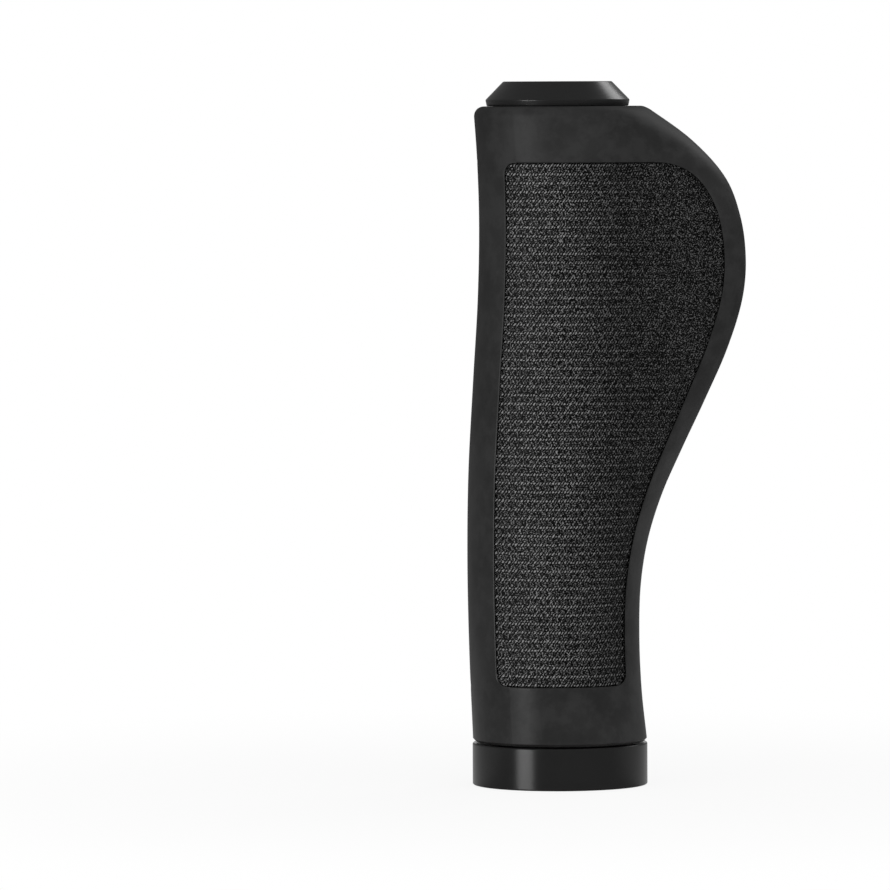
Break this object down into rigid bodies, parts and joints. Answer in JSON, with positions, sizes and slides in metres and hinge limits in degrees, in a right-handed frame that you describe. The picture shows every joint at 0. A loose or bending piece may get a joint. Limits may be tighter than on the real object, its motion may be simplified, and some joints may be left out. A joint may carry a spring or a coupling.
{
  "type": "handlebar grip",
  "caption": "Ergonomic handlebar grip with a palm wing, an inset textured palm panel, finger ribs underneath, a clamp ring with a cross screw and a tapered bar end cap.",
  "frame": {"origin": "on the handlebar's axis, in the clamp ring's end face, which is the grip's inboard end", "axes": "+Z along the bar towards its capped outboard end, +X towards the tip of the palm wing, -Y towards the palm and +Y towards the ribbed underside"},
  "size_m": [0.0529, 0.0337, 0.1337],
  "materials": {
    "rubber": "soft matte black rubber",
    "panel": "matte black rubber with a moulded woven texture",
    "core": "moulded black plastic",
    "ring": "satin black anodised",
    "screw": "bright steel",
    "cap": "gloss black moulded plastic"
  },
  "bodies": {
    "root": {"rubber_body": "rubber", "palm_panel": "panel", "core_sleeve": "core", "clamp_ring": "ring", "clamp_screw": "screw", "end_cap": "cap"}
  },
  "joints": []
}
